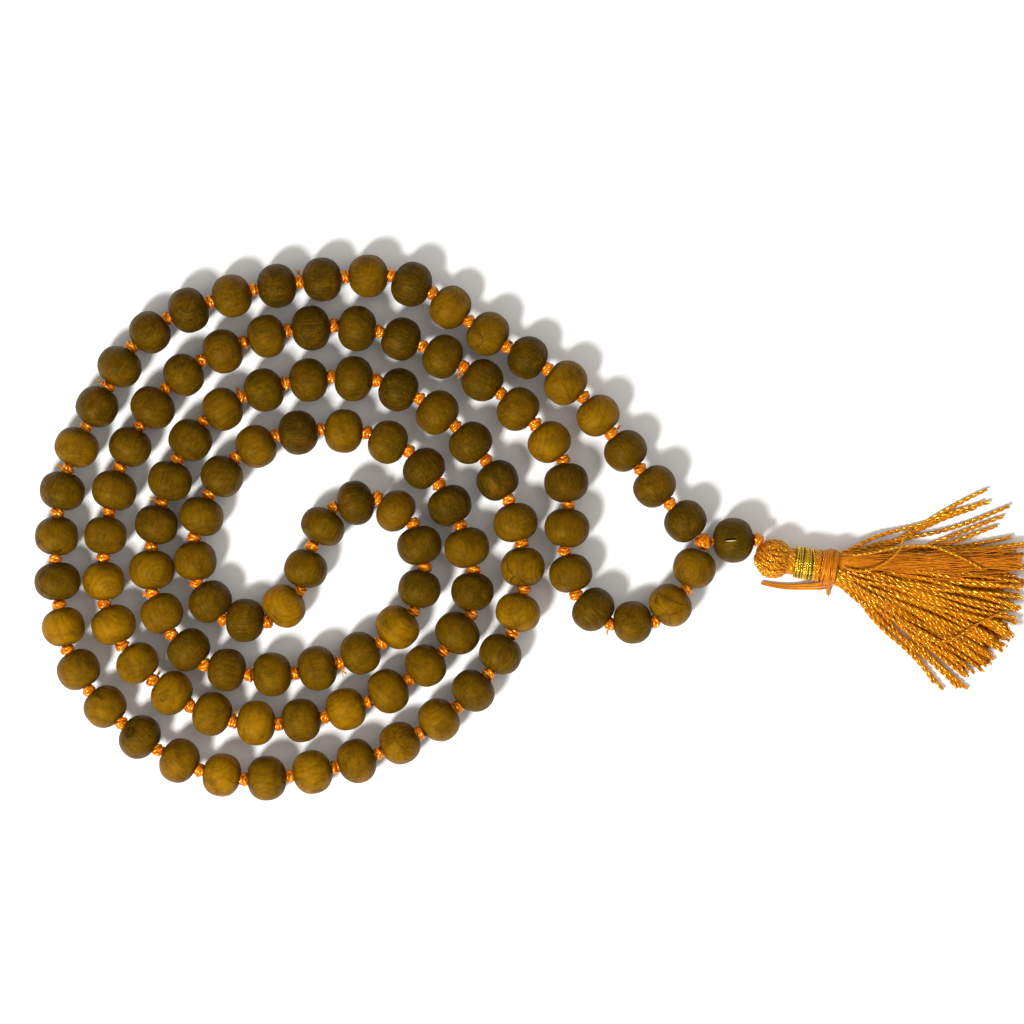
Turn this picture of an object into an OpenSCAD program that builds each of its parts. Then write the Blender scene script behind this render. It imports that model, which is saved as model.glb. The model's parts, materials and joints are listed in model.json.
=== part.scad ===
// Mala prayer beads: 108 wooden counting beads knotted one by one on a silk thread, a guru bead
// where the two ends meet, and a tassel. The string lies on a table as a doubled spiral.
// Millimetres. +X runs along the tassel, +Z is up, and the table is at Z = 0.

/* [Beads] */
// Across a counting bead, at right angles to its hole
bead_d = 7.8; // [6:0.1:10]
// How much wider or narrower than that a single bead may be
bead_d_spread = 0.2; // [0:0.05:0.4]
// Along a counting bead, from end to end
bead_l = 6.3; // [5:0.1:8]
// Across the guru bead
guru_d = 8.2; // [6.5:0.1:10]
// Along the guru bead
guru_l = 7; // [5.5:0.1:9]

/* [Thread] */
// Across the silk thread
thread_d = 0.9; // [0.7:0.05:1.1]
// Room all round the thread in a bead's hole
bore_play = 0.4; // [0.25:0.05:0.6]
// Across the knot between two beads
knot_d = 2.5; // [2:0.1:3]
// Thread left between two beads for their knot
knot_gap = 1.6; // [1.2:0.1:2.5]
// Across the big knot that ties both ends together in front of the guru bead
junction_d = 3.1; // [2.5:0.1:4]
// Across the knot that the tassel hangs from
tassel_knot_d = 2.5; // [2:0.1:3.2]

/* [Tassel] */
// Across the tassel's round head
head_d = 7; // [5.5:0.1:9]
// Across the wooden ball inside the head
core_d = 4.4; // [3:0.1:5]
// Across the neck under its windings
neck_d = 4.7; // [3.6:0.1:5.4]
// Across one turn of gold thread
gold_thread_d = 0.5; // [0.3:0.05:0.8]
// Number of turns of gold thread
gold_turns = 6; // [3:1:9]
// Number of turns of thinner orange thread beside the gold
orange_turns = 4; // [2:1:6]
// Across one turn of the soft cord that ends the neck
wrap_cord_d = 0.8; // [0.5:0.05:1.1]
// From the middle of the head to the ends of the longest tassel cords
tassel_reach = 44; // [32:1:60]
// Height of the tassel's fan of cords where it lies thickest
fan_height = 5; // [3:0.5:6.5]
// Half the angle that the fan of cords opens to
fan_half_angle = 29; // [12:1:34]

/* [Hidden] */
bead_count = 108;
bead_sides = 64;
profile_steps = 7;
roundness = 2.1;
mouth_play = 0.15;
knot_bite = 0.4;
joint_gap = 0.06;
thread_gap = 0.03;
strand_gap = 0.1;
seat_gap = 0.05;
size_steps = [1, -0.4, 0.6, -1, 0.2, 0.8, -0.6];
wood_colors = ["peru", "goldenrod", "olive"];
silk_color = "darkorange";

// The string as it lies, from the big knot round the outside, in to the turn at its heart, and back
junction_mark = [30.5, -2.5];
route = [
    junction_mark, [26, 2.5], [21.5, 8], [16.5, 13.5], [12, 20], [6, 26], [-2, 30.5], [-9, 35],
    [-22, 43.5], [-37, 43], [-53, 40], [-66.5, 34], [-75, 21], [-81, 7.5], [-82, -9],
    [-78.5, -25], [-67, -37], [-52.5, -43.5], [-37, -42.5], [-22, -37.5], [-8.5, -27.5],
    [-1, -13], [-3, 4], [-12.5, 17.5], [-26, 25.5], [-42.5, 25], [-56.5, 18.5], [-63.5, 5],
    [-65.5, -11], [-57, -23.5], [-42, -25.5], [-27, -21], [-19, -13], [-18, -5.5], [-19.5, 0],
    [-24, 4.5], [-30.5, 5], [-36, 1.5], [-38, -5], [-40, -11.5], [-44.5, -16], [-50, -17], [-55.5, -14],
    [-58, -8], [-57.5, 1], [-50, 13], [-38, 17], [-22.5, 14.5], [-12.5, 2], [-9.5, -14],
    [-19.5, -25.5], [-34, -32.5], [-50, -34], [-63.5, -28], [-73, -16], [-73.5, -1], [-69.5, 14],
    [-60.5, 26.5], [-47, 33], [-31, 35], [-16, 30.5], [-2, 21], [6.5, 11], [7, 2], [6.5, -7],
    [10.5, -14.5], [17.5, -17.5], [24, -15], [28.5, -9], junction_mark
];
// Closest that two strands lie beside each other on the route as drawn
route_room = 8.1;
route_steps = 12;
// Half the most that the route turns from one bead to the next
sharpest_bend = 25;

// A smooth curve through the route's points, whose speed follows their spacing
function mix(a, b, u) = a * (1 - u) + b * u;
function curve_point(a, b, c, d, u) =
    let (t1 = sqrt(norm(b - a)),
         t2 = t1 + sqrt(norm(c - b)),
         t3 = t2 + sqrt(norm(d - c)),
         t = mix(t1, t2, u),
         ab = mix(a, b, t / t1),
         bc = mix(b, c, (t - t1) / (t2 - t1)),
         cd = mix(c, d, (t - t2) / (t3 - t2)),
         abc = mix(ab, bc, t / t2),
         bcd = mix(bc, cd, (t - t1) / (t3 - t1)))
    mix(abc, bcd, u);
last_mark = len(route) - 1;
run_in = 2 * route[0] - route[1];
run_out = 2 * route[last_mark] - route[last_mark - 1];
marks = concat([run_in], route, [run_out]);
drawn_path = concat(
    [for (i = [0:last_mark - 1], k = [0:route_steps - 1])
        curve_point(marks[i], marks[i + 1], marks[i + 2], marks[i + 3], k / route_steps)],
    [route[last_mark]]);
function path_lengths(path) =
    [for (i = 0, s = 0;
          i < len(path);
          s = s + norm(path[min(i + 1, len(path) - 1)] - path[i]), i = i + 1) s];
drawn_lengths = path_lengths(drawn_path);
drawn_total = drawn_lengths[len(drawn_lengths) - 1];

// A bead's outline is a superellipse that ends at the mouths of its hole. Its middle is this far
// from a flat that touches it at that angle to its end.
function mouth_edge(width, mouth) = acos(pow(mouth / width, roundness / 2));
function crown_half_l(width, length, mouth) =
    length / 2 / pow(sin(mouth_edge(width, mouth)), 2 / roundness);
function crown_reach(width, length, mouth, angle) =
    let (q = roundness / (roundness - 1))
    pow(pow(width / 2 * sin(angle), q) + pow(crown_half_l(width, length, mouth) * cos(angle), q), 1 / q);
bore_d = thread_d + 2 * bore_play;
mouth_d = knot_d + 2 * mouth_play;

// The route grows until neighbouring strands clear each other, all the beads fit on it, and
// neighbouring beads clear each other where it bends most
widest_bead = bead_d + bead_d_spread;
bend_reach = crown_reach(widest_bead, bead_l, mouth_d, sharpest_bend) + strand_gap / 2;
bead_room = max(bead_l + knot_gap, 2 * bend_reach / cos(sharpest_bend));
end_gap = junction_d / 2 + seat_gap - knot_gap / 2;
string_l = bead_count * bead_room + 2 * end_gap;
layout_scale = max((widest_bead + strand_gap) / route_room, string_l / drawn_total);
pitch = (layout_scale * drawn_total - 2 * end_gap) / bead_count;
route_x = [for (i = [0:len(drawn_path) - 1]) [drawn_lengths[i], drawn_path[i].x]];
route_y = [for (i = [0:len(drawn_path) - 1]) [drawn_lengths[i], drawn_path[i].y]];
function on_route(s) =
    layout_scale * [lookup(s / layout_scale, route_x), lookup(s / layout_scale, route_y)];

// Beads and knots along it: knot k lies between bead k and bead k + 1
thread_z = bead_d / 2;
knots = [for (k = [0:bead_count]) concat(on_route(end_gap + k * pitch), thread_z)];
function bead_width(n) = bead_d + bead_d_spread * size_steps[n % len(size_steps)];
function bead_middle(n) = let (m = (knots[n - 1] + knots[n]) / 2) [m.x, m.y, bead_width(n) / 2];
function heading(v) = atan2(v.y, v.x);
function thread_heading(n) = heading(knots[n] - knots[n - 1]);
knot_half_l = (pitch - bead_l) / 2 + knot_bite;

// Guru bead and tassel, placed from the big knot
junction = concat(layout_scale * junction_mark, thread_z);
guru_turn = 3;
guru_thread_d = 1.5 * thread_d;
guru_bore_d = guru_thread_d + 2 * bore_play;
guru_start = junction_d / 2 + seat_gap;
guru_reach = guru_start + guru_l + knot_gap / 2;
function from_junction(x) = junction + [x * cos(guru_turn), x * sin(guru_turn), 0];
guru_flat = from_junction(guru_start + guru_l / 2);
guru_middle = [guru_flat.x, guru_flat.y, guru_d / 2];
tassel_flat = from_junction(guru_reach);
tassel_pivot = [tassel_flat.x, tassel_flat.y, guru_d / 2];
head_heading = -49;
head_bite = 0.25;
head_reach = head_d / 2 + tassel_knot_d / 2 - head_bite;
head_middle = [
    tassel_pivot.x + head_reach * cos(head_heading),
    tassel_pivot.y + head_reach * sin(head_heading),
    head_d / 2
];
// Along the tassel from the middle of its head
neck_bore_d = 3;
gold_start = head_d / 2 + 0.1;
orange_thread_d = 0.8 * gold_thread_d;
orange_start = gold_start + gold_turns * gold_thread_d + 0.1;
wrap_turns = 3;
wrap_start = orange_start + orange_turns * orange_thread_d + 0.1;
wrap_end = wrap_start + wrap_turns * wrap_cord_d;
fan_start = wrap_end + 0.1;
fan_heading = -9;
fan_rings = 14;
fan_sides = 20;
tie_d = 0.8;

// Which pieces belong to which moving stretch of the string.
// A thread run is [first bead, last bead, first knot, last knot]: the beads it goes through and
// the knots tied in it.
single_beads = [for (n = [1:bead_count]) if (n <= 6 || n >= 100 || (n >= 59 && n <= 61)) n];
coil_bead_numbers = [for (n = [1:bead_count]) if ((n >= 7 && n <= 58) || (n >= 62 && n <= 99)) n];
group_size = 6;
group_count = len(coil_bead_numbers) / group_size;
coil_runs = [
    [[7, 21, 7, 21]],
    [[22, 36, 22, 36]],
    [[37, 48, 37, 48]],
    [[49, 58, 49, 57]],
    [[62, 73, 62, 73]],
    [[74, 86, 74, 86]],
    [[87, 99, 87, 98]]
];
hook_runs = [[59, 61, 58, 61]];
tail_runs = [
    [[6, 6, 6, 6], [100, 100, 99, 99]],
    [[4, 5, 4, 5], [101, 104, 100, 103]],
    [[3, 3, 3, 3], [105, 105, 104, 104]],
    [[2, 2, 2, 2], [106, 106, 105, 105]],
    [[1, 1, 1, 1], [107, 108, 106, 107]]
];
// Knots that the string folds about
hinge_knots = [1, 2, 3, 5, 6, 58, 61, 99, 100, 104, 105, 106];

function numbered(word, n) = str(word, n < 10 ? "00" : n < 100 ? "0" : "", n);

// ---- Beads ----

// A turned bead with its hole along Z, opened out at both ends where the knots sit
module turned_bead(width, length, bore, mouth) {
    mouth_depth = (mouth - bore) / 2;
    edge = mouth_edge(width, mouth);
    half_l = crown_half_l(width, length, mouth);
    crown = [for (i = [-profile_steps:profile_steps])
        let (a = edge * i / profile_steps)
        [width / 2 * pow(cos(a), 2 / roundness),
         sign(a) * half_l * pow(abs(sin(a)), 2 / roundness)]];
    rotate_extrude($fn = bead_sides)
        polygon(concat(
            [[bore / 2, -length / 2 + mouth_depth]],
            crown,
            [[bore / 2, length / 2 - mouth_depth]]));
}

module bead(n) {
    color(wood_colors[n % len(wood_colors)])
        translate(bead_middle(n))
            rotate([0, 90, thread_heading(n)])
                turned_bead(bead_width(n), bead_l, bore_d, mouth_d);
}

module bead_group(g) {
    for (i = [0:group_size - 1])
        bead(coil_bead_numbers[(g - 1) * group_size + i]);
}

module guru_bead() {
    color("darkolivegreen")
        translate(guru_middle)
            rotate([0, 90, guru_turn])
                turned_bead(guru_d, guru_l, guru_bore_d, guru_bore_d + 2 * mouth_play);
}

// ---- Thread and knots ----

// One knot, pulled tight against the beads on both sides
module knot(k) {
    knot_steps = 6;
    translate(knots[k])
        rotate([0, 90, knot_heading(k)])
            rotate_extrude($fn = bead_sides)
                polygon([for (i = [-knot_steps:knot_steps])
                    let (a = 90 * i / knot_steps)
                    [knot_d / 2 * cos(a), knot_half_l * sin(a)]]);
}

// The way the thread runs through knot k
function knot_heading(k) = heading(knots[k + 1] - knots[k - 1]);

// How far from the middle of knot k the thread of bead n stops. It stops clear of the knot all
// round where the string folds about it, and otherwise a hair from the knot's side.
function thread_stop(n, k) =
    butts_knot(k)
        ? norm([knot_half_l * cos(thread_heading(n) - knot_heading(k)),
                knot_d / 2 * sin(thread_heading(n) - knot_heading(k))]) + thread_gap
        : max(knot_d / 2, knot_half_l) + joint_gap;

// Whether both beads beside knot k lie in one stretch, so that nothing turns about that knot
function butts_knot(k) = k > 0 && k < bead_count && len(search(k, hinge_knots)) == 0;

// The straight thread through bead n
module thread_span(n) {
    start = thread_stop(n, n - 1);
    end = thread_stop(n, n);
    translate(knots[n - 1])
        rotate([0, 90, thread_heading(n)])
            translate([0, 0, start])
                cylinder(d = thread_d, h = norm(knots[n] - knots[n - 1]) - start - end, $fn = 32);
}

module thread_runs(runs) {
    color(silk_color)
        for (run = runs) {
            for (k = [run[2]:run[3]])
                knot(k);
            for (n = [run[0]:run[1]])
                thread_span(n);
        }
}

module junction_knot() {
    color(silk_color)
        translate(junction)
            sphere(d = junction_d, $fn = bead_sides);
}

module tassel_knot() {
    color(silk_color)
        translate(tassel_pivot)
            sphere(d = tassel_knot_d, $fn = bead_sides);
}

// The doubled thread through the guru bead, from the big knot to the tassel's knot
module guru_thread() {
    color(silk_color)
        difference() {
            translate([junction.x, junction.y, guru_d / 2])
                rotate([0, 90, guru_turn])
                    cylinder(d = guru_thread_d, h = guru_reach, $fn = 32);
            translate(junction)
                sphere(d = junction_d + 2 * joint_gap, $fn = bead_sides);
            translate(tassel_pivot)
                sphere(d = tassel_knot_d + 2 * joint_gap, $fn = bead_sides);
        }
}

// ---- Tassel ----

// Its own frame has +X along the tassel from the middle of the head
module tassel_place() {
    translate(head_middle)
        rotate([0, 0, fan_heading])
            children();
}

// Turns a flat profile drawn as [radius, distance along the tassel]
module turned_along() {
    rotate([0, 90, 0])
        rotate_extrude($fn = bead_sides)
            intersection() {
                children();
                translate([0, -tassel_reach])
                    square(2 * tassel_reach);
            }
}

// The cords folded over the ball and drawn in to a hollow neck
module head_cover() {
    color(silk_color)
        difference() {
            tassel_place()
                turned_along()
                    difference() {
                        union() {
                            circle(d = head_d, $fn = bead_sides);
                            square([neck_d / 2, wrap_end]);
                        }
                        circle(d = core_d + 2 * seat_gap, $fn = bead_sides);
                        square([neck_bore_d / 2, wrap_end + 1]);
                    }
            translate(tassel_pivot)
                sphere(d = tassel_knot_d + 2 * joint_gap, $fn = bead_sides);
        }
}

module head_core() {
    color("burlywood")
        translate(head_middle)
            sphere(d = core_d, $fn = bead_sides);
}

// The gathered cords inside the neck
module neck_bundle() {
    bundle_start = core_d / 2 + seat_gap;
    color("orange")
        tassel_place()
            translate([bundle_start, 0, 0])
                rotate([0, 90, 0])
                    cylinder(d = neck_bore_d - 2 * seat_gap, h = wrap_end - bundle_start, $fn = 32);
}

// Turns of a cord wound round the neck, side by side
module winding(start, turns, cord) {
    inner_r = neck_d / 2 + seat_gap;
    tassel_place()
        turned_along() {
            translate([inner_r, start])
                square([0.6 * cord, turns * cord]);
            for (i = [0:turns - 1])
                translate([inner_r + cord / 2, start + (i + 0.5) * cord])
                    circle(d = cord, $fn = 24);
        }
}

module gold_winding() {
    color("gold")
        winding(gold_start, gold_turns, gold_thread_d);
}

module orange_winding() {
    color("orange")
        winding(orange_start, orange_turns, orange_thread_d);
}

module neck_wrap() {
    color(silk_color)
        winding(wrap_start, wrap_turns, wrap_cord_d);
}

// A tube of eight sides swept along a list of points
module swept_cord(points, width) {
    sides = 8;
    last = len(points) - 1;
    rings = [for (i = [0:last])
        let (ahead = points[min(i + 1, last)] - points[max(i - 1, 0)],
             side = cross(ahead, [0, 0, 1]) / norm(cross(ahead, [0, 0, 1])),
             up = cross(side, ahead) / norm(ahead))
        for (j = [0:sides - 1])
            points[i] + width / 2 * (side * cos(360 * j / sides) + up * sin(360 * j / sides))];
    polyhedron(rings, concat(
        [[for (j = [0:sides - 1]) j]],
        [for (i = [0:last - 1], j = [0:sides - 1])
            let (k = (j + 1) % sides)
            [i * sides + k, i * sides + j, (i + 1) * sides + j, (i + 1) * sides + k]],
        [[for (j = [sides - 1:-1:0]) last * sides + j]]));
}

// The loose end of the neck's cord, lying back beside the head
module tie_end() {
    side = -(neck_d / 2 + wrap_cord_d + tie_d / 2 + 2 * seat_gap);
    lie = tie_d / 2 - head_d / 2;
    color(silk_color)
        tassel_place()
            swept_cord([
                [wrap_start + 1.4, side, -0.6],
                [wrap_start + 0.2, side - 0.1, -1.2],
                [wrap_start - 1.4, side - 0.3, -2],
                [wrap_start - 3.4, side - 0.7, lie + 0.3],
                [wrap_start - 5.6, side - 1, lie],
                [wrap_start - 8, side - 1.1, lie],
                [wrap_start - 9.8, side - 1, lie]
            ], tie_d);
}

// The outer shape of the tassel's cords, fanned out on the table.
// t runs from the neck to the tips, and turn goes once round the section.
function fan_point(t, turn) =
    let (across = cos(turn),
         reach = mix(fan_start, tassel_reach * (1 - 0.1 * across * across), t),
         neck_r = neck_d / 2 + wrap_cord_d / 2,
         spread = across * mix(asin(neck_r / fan_start), fan_half_angle, t),
         low = mix(head_d / 2 - neck_r, 0, min(1, 4 * t)),
         high = mix(head_d / 2 + neck_r, 0.6 * fan_height, t))
    [reach * mix(1, cos(spread), t),
     reach * sin(spread),
     mix(low, high, (1 + sin(turn)) / 2) - head_d / 2];

// Triangles in strips straight across one end of the fan
function fan_end(first) =
    [for (j = [0:fan_sides / 2 - 1], half = [0, 1])
        let (under = (fan_sides - j) % fan_sides)
        if (half == 0 ? j > 0 : j < fan_sides / 2 - 1)
            half == 0
                ? [first + j, first + j + 1, first + under]
                : [first + j + 1, first + fan_sides - j - 1, first + under]];

module fan_of_cords() {
    points = [for (i = [0:fan_rings], j = [0:fan_sides - 1])
        fan_point(i / fan_rings, 360 * j / fan_sides)];
    walls = [for (i = [0:fan_rings - 1], j = [0:fan_sides - 1])
        let (a = i * fan_sides + j,
             b = i * fan_sides + (j + 1) % fan_sides,
             c = b + fan_sides,
             d = a + fan_sides)
        each [[a, b, c], [a, c, d]]];
    color("orange")
        tassel_place()
            polyhedron(points, concat(
                [for (face = fan_end(0)) [face[2], face[1], face[0]]],
                walls,
                fan_end(fan_rings * fan_sides)));
}

// ---- The pieces ----

for (g = [1:group_count])
    bead_group(g);
for (n = single_beads)
    bead(n);
guru_bead();
for (c = [1:len(coil_runs)])
    thread_runs(coil_runs[c - 1]);
thread_runs(hook_runs);  // hook_thread
for (t = [1:len(tail_runs)])
    thread_runs(tail_runs[t - 1]);
junction_knot();
guru_thread();
tassel_knot();
head_cover();
head_core();
neck_bundle();
gold_winding();
orange_winding();
neck_wrap();
tie_end();
fan_of_cords();
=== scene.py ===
"""Mala prayer beads: turned wooden beads knotted on orange silk, a guru bead and a silk tassel.

The beads, knots, twisted cords and windings are grown by Geometry Nodes on marks and paths laid
along the string's route. Everything is in metres.
"""

import json
import math
import random

import bpy
from mathutils import Euler, Matrix, Vector


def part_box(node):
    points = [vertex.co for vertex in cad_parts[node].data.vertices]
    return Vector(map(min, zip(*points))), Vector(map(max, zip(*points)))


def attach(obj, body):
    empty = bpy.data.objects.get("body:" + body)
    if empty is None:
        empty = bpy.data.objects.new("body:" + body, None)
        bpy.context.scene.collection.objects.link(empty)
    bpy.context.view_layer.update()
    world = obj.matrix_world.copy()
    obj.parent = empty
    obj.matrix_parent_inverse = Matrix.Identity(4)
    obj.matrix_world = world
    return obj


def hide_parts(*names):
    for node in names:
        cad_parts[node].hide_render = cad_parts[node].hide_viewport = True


MM = 0.001
TURN = 2 * math.pi
UP = Vector((0, 0, 1))

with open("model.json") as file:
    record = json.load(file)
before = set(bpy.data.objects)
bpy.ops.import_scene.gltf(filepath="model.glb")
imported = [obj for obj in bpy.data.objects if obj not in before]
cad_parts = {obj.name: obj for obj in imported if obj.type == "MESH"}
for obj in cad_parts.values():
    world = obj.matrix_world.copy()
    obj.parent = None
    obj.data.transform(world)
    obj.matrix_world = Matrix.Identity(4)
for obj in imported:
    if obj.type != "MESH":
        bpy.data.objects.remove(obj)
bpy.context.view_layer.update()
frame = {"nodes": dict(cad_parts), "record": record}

# ---- Sizes, the same as the part's own ----

BEAD_COUNT = 108
BEAD_D = 7.8 * MM
BEAD_D_SPREAD = 0.2 * MM
BEAD_L = 6.3 * MM
SIZE_STEPS = (1, -0.4, 0.6, -1, 0.2, 0.8, -0.6)
GURU_D = 8.2 * MM
GURU_L = 7 * MM
GURU_TURN = math.radians(3)
THREAD_D = 0.9 * MM
BORE_PLAY = 0.4 * MM
BORE_D = THREAD_D + 2 * BORE_PLAY
GURU_BORE_D = 1.5 * THREAD_D + 2 * BORE_PLAY
KNOT_D = 2.5 * MM
MOUTH_FLARE = 0.3 * MM
MOUTH_D = KNOT_D + MOUTH_FLARE
KNOT_GAP = 1.6 * MM
JUNCTION_D = 3.1 * MM
SEAT_GAP = 0.05 * MM
HEAD_D = 7 * MM
NECK_D = 4.7 * MM
GOLD_TURNS = 6
GOLD_THREAD_D = 0.5 * MM
GOLD_START = HEAD_D / 2 + 0.1 * MM
ORANGE_START = GOLD_START + GOLD_TURNS * GOLD_THREAD_D + 0.1 * MM
ORANGE_TURNS = 4
ORANGE_THREAD_D = 0.8 * GOLD_THREAD_D
WRAP_START = ORANGE_START + ORANGE_TURNS * ORANGE_THREAD_D + 0.1 * MM
WRAP_TURNS = 3
WRAP_CORD_D = 0.8 * MM
WRAP_END = WRAP_START + WRAP_TURNS * WRAP_CORD_D
TIE_D = 0.8 * MM
FAN_HEADING = math.radians(-9)

# Beads are made a little longer, and squarer at their shoulders, than the part's plain ones
BULGE = 0.3 * MM
ROUNDNESS = 2.25

# The string's route on the table, in millimetres, from the big knot round and back to it
ROUTE = [
    (30.5, -2.5), (26, 2.5), (21.5, 8), (16.5, 13.5), (12, 20), (6, 26), (-2, 30.5), (-9, 35),
    (-22, 43.5), (-37, 43), (-53, 40), (-66.5, 34), (-75, 21), (-81, 7.5), (-82, -9),
    (-78.5, -25), (-67, -37), (-52.5, -43.5), (-37, -42.5), (-22, -37.5), (-8.5, -27.5),
    (-1, -13), (-3, 4), (-12.5, 17.5), (-26, 25.5), (-42.5, 25), (-56.5, 18.5), (-63.5, 5),
    (-65.5, -11), (-57, -23.5), (-42, -25.5), (-27, -21), (-19, -13), (-18, -5.5), (-19.5, 0),
    (-24, 4.5), (-30.5, 5), (-36, 1.5), (-38, -5), (-40, -11.5), (-44.5, -16), (-50, -17),
    (-55.5, -14), (-58, -8), (-57.5, 1), (-50, 13), (-38, 17), (-22.5, 14.5), (-12.5, 2),
    (-9.5, -14), (-19.5, -25.5), (-34, -32.5), (-50, -34), (-63.5, -28), (-73, -16),
    (-73.5, -1), (-69.5, 14), (-60.5, 26.5), (-47, 33), (-31, 35), (-16, 30.5), (-2, 21),
    (6.5, 11), (7, 2), (6.5, -7), (10.5, -14.5), (17.5, -17.5), (24, -15), (28.5, -9), (30.5, -2.5),
]
ROUTE_STEPS = 12


def mix(a, b, u):
    return a * (1 - u) + b * u


def curve_point(a, b, c, d, u):
    """A point on a smooth curve from b to c whose speed follows the points' spacing."""
    t1 = math.sqrt((b - a).length)
    t2 = t1 + math.sqrt((c - b).length)
    t3 = t2 + math.sqrt((d - c).length)
    t = mix(t1, t2, u)
    ab = mix(a, b, t / t1)
    bc = mix(b, c, (t - t1) / (t2 - t1))
    cd = mix(c, d, (t - t2) / (t3 - t2))
    return mix(mix(ab, bc, t / t2), mix(bc, cd, (t - t1) / (t3 - t1)), u)


def smooth_path(points, steps):
    """The smooth curve through the points, with that many steps from each to the next."""
    marks = [2 * points[0] - points[1]] + points + [2 * points[-1] - points[-2]]
    path = [curve_point(*marks[i:i + 4], k / steps) for i in range(len(points) - 1) for k in range(steps)]
    return path + [points[-1]]


def spaced_points(path, distances):
    """The points at those distances along a path."""
    found = []
    done = 0
    at = 0
    for distance in distances:
        while at < len(path) - 2 and done + (path[at + 1] - path[at]).length < distance:
            done += (path[at + 1] - path[at]).length
            at += 1
        step = path[at + 1] - path[at]
        found.append(path[at] + step * ((distance - done) / step.length))
    return found


def path_length(path):
    return sum((b - a).length for a, b in zip(path, path[1:]))


def lay_out_knots():
    """Knot k lies between bead k and bead k + 1."""
    path = smooth_path([Vector((x * MM, y * MM, BEAD_D / 2)) for x, y in ROUTE], ROUTE_STEPS)
    end_gap = JUNCTION_D / 2 + SEAT_GAP - KNOT_GAP / 2
    pitch = (path_length(path) - 2 * end_gap) / BEAD_COUNT
    return spaced_points(path, [end_gap + k * pitch for k in range(BEAD_COUNT + 1)])


def middle(node):
    low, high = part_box(node)
    return (low + high) / 2


KNOTS = lay_out_knots()
JUNCTION = middle("junction_knot")
GURU = middle("guru_bead")
TASSEL_PIVOT = middle("tassel_knot")
HEAD = middle("head_core")
TASSEL_PLACE = Matrix.Translation(HEAD) @ Matrix.Rotation(FAN_HEADING, 4, "Z")


def bead_width(n):
    return BEAD_D + BEAD_D_SPREAD * SIZE_STEPS[n % len(SIZE_STEPS)]


def bead_middle(n):
    m = (KNOTS[n - 1] + KNOTS[n]) / 2
    return Vector((m.x, m.y, bead_width(n) / 2))


def heading(direction):
    return math.atan2(direction.y, direction.x)


def along_tassel(x, y, z):
    """A point given along, across and above the tassel from the middle of its head, in mm."""
    return TASSEL_PLACE @ Vector((x * MM, y * MM, z * MM))


# ---- Building node trees ----

def fill(node, values):
    """Sets a node's inputs, by name or number, to plain values or links them to sockets."""
    tree = node.id_data
    for key, value in values.items():
        if isinstance(key, int):
            socket = node.inputs[key]
        else:
            socket = next(s for s in node.inputs if s.name == key and s.enabled)
        if isinstance(value, bpy.types.NodeSocket):
            tree.links.new(value, socket)
        else:
            socket.default_value = value


def add(tree, kind, values=None, **settings):
    """Adds a node and returns its first live output."""
    node = tree.nodes.new(kind)
    for name, value in settings.items():
        setattr(node, name, value)
    fill(node, values or {})
    return next((s for s in node.outputs if s.enabled), node)


def calc(tree, operation, a, b=0.0):
    return add(tree, "ShaderNodeMath", {0: a, 1: b}, operation=operation)


def calc_vector(tree, operation, a, b=(0, 0, 0)):
    return add(tree, "ShaderNodeVectorMath", {0: a, 1: b}, operation=operation)


def scaled(tree, vector, amount):
    return add(tree, "ShaderNodeVectorMath", {0: vector, "Scale": amount}, operation="SCALE")


def ramp(tree, value, low, high, to_low=0.0, to_high=1.0):
    return add(tree, "ShaderNodeMapRange", {
        "Value": value, "From Min": low, "From Max": high, "To Min": to_low, "To Max": to_high})


def new_tree(name, inputs):
    """An empty geometry tree with named inputs, given as {name: (socket kind, default)}."""
    tree = bpy.data.node_groups.new(name, "GeometryNodeTree")
    tree.is_modifier = True
    face = tree.interface
    face.new_socket(name="Geometry", in_out="INPUT", socket_type="NodeSocketGeometry")
    face.new_socket(name="Geometry", in_out="OUTPUT", socket_type="NodeSocketGeometry")
    for label, (kind, default) in inputs.items():
        socket = face.new_socket(name=label, in_out="INPUT", socket_type="NodeSocket" + kind)
        if default is not None:
            socket.default_value = default
    group_in = tree.nodes.new("NodeGroupInput")
    return tree, {s.name: s for s in group_in.outputs}


def end_tree(tree, geometry, material):
    """Every tree ends in Realize Instances and Set Material."""
    geometry = add(tree, "GeometryNodeRealizeInstances", {"Geometry": geometry})
    geometry = add(tree, "GeometryNodeSetShadeSmooth", {"Geometry": geometry, "Shade Smooth": True})
    geometry = add(tree, "GeometryNodeSetMaterial", {"Geometry": geometry, "Material": material})
    group_out = tree.nodes.new("NodeGroupOutput")
    tree.links.new(geometry, group_out.inputs[0])


def named(tree, name, kind="FLOAT"):
    return add(tree, "GeometryNodeInputNamedAttribute", {"Name": name}, data_type=kind)


def store(tree, geometry, name, value):
    return add(tree, "GeometryNodeStoreNamedAttribute",
               {"Geometry": geometry, "Name": name, "Value": value}, data_type="FLOAT")


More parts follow.
